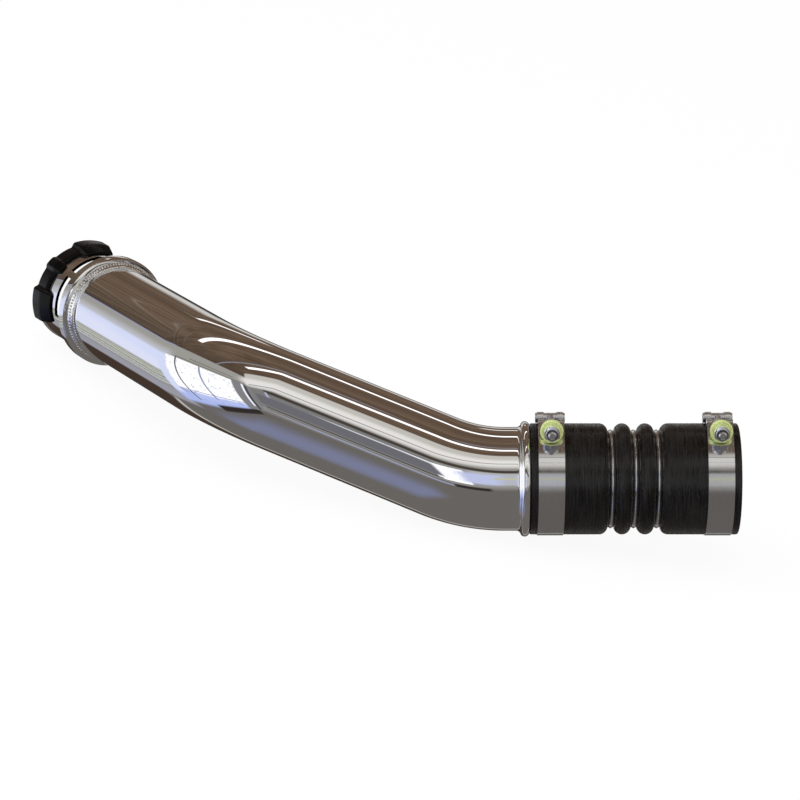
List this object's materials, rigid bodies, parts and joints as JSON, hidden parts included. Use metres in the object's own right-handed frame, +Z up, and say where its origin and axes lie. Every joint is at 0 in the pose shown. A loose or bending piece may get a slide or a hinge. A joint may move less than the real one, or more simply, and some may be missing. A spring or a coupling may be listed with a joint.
{
  "type": "intercooler pipe",
  "caption": "Bent charge-air pipe with a rolled bead, a bellows hose held by T-bolt clamps at one end and a welded snap-in connector with a lock clip at the other.",
  "frame": {"origin": "centre of the object's box, on the surface it lies on", "axes": "+Z up as it lies; +X the level heading of the hose, out of its open end; +Y across, from the hose end towards the connector end"},
  "size_m": [0.5498, 0.3452, 0.1159],
  "materials": {
    "pipe": "mirror polished",
    "weld": "rippled weld bead",
    "connector": "turned and polished",
    "seal": "smooth",
    "clip": "satin moulded",
    "hose": "satin with fine wrap lines",
    "rings": "polished",
    "strap": "brushed along the strap",
    "bridge": "satin",
    "bolt": "satin",
    "barrel": "satin",
    "collar": "yellow zinc plated",
    "nut": "bright zinc plated",
    "insert": "moulded"
  },
  "bodies": {
    "root": {"charge_pipe": "pipe", "pipe_weld": "weld", "connector_body": "connector", "seal_ring": "seal", "lock_clip": "clip", "hose_coupler": "hose", "hose_ring_1": "rings", "hose_ring_2": "rings", "hose_ring_3": "rings", "free_clamp_strap": "strap", "free_clamp_bridge": "bridge", "free_clamp_bolt": "bolt", "free_clamp_barrel": "barrel", "free_clamp_collar": "collar", "free_clamp_nut": "nut", "free_clamp_insert": "insert", "pipe_clamp_strap": "strap", "pipe_clamp_bridge": "bridge", "pipe_clamp_bolt": "bolt", "pipe_clamp_barrel": "barrel", "pipe_clamp_collar": "collar", "pipe_clamp_nut": "nut", "pipe_clamp_insert": "insert"}
  },
  "joints": []
}
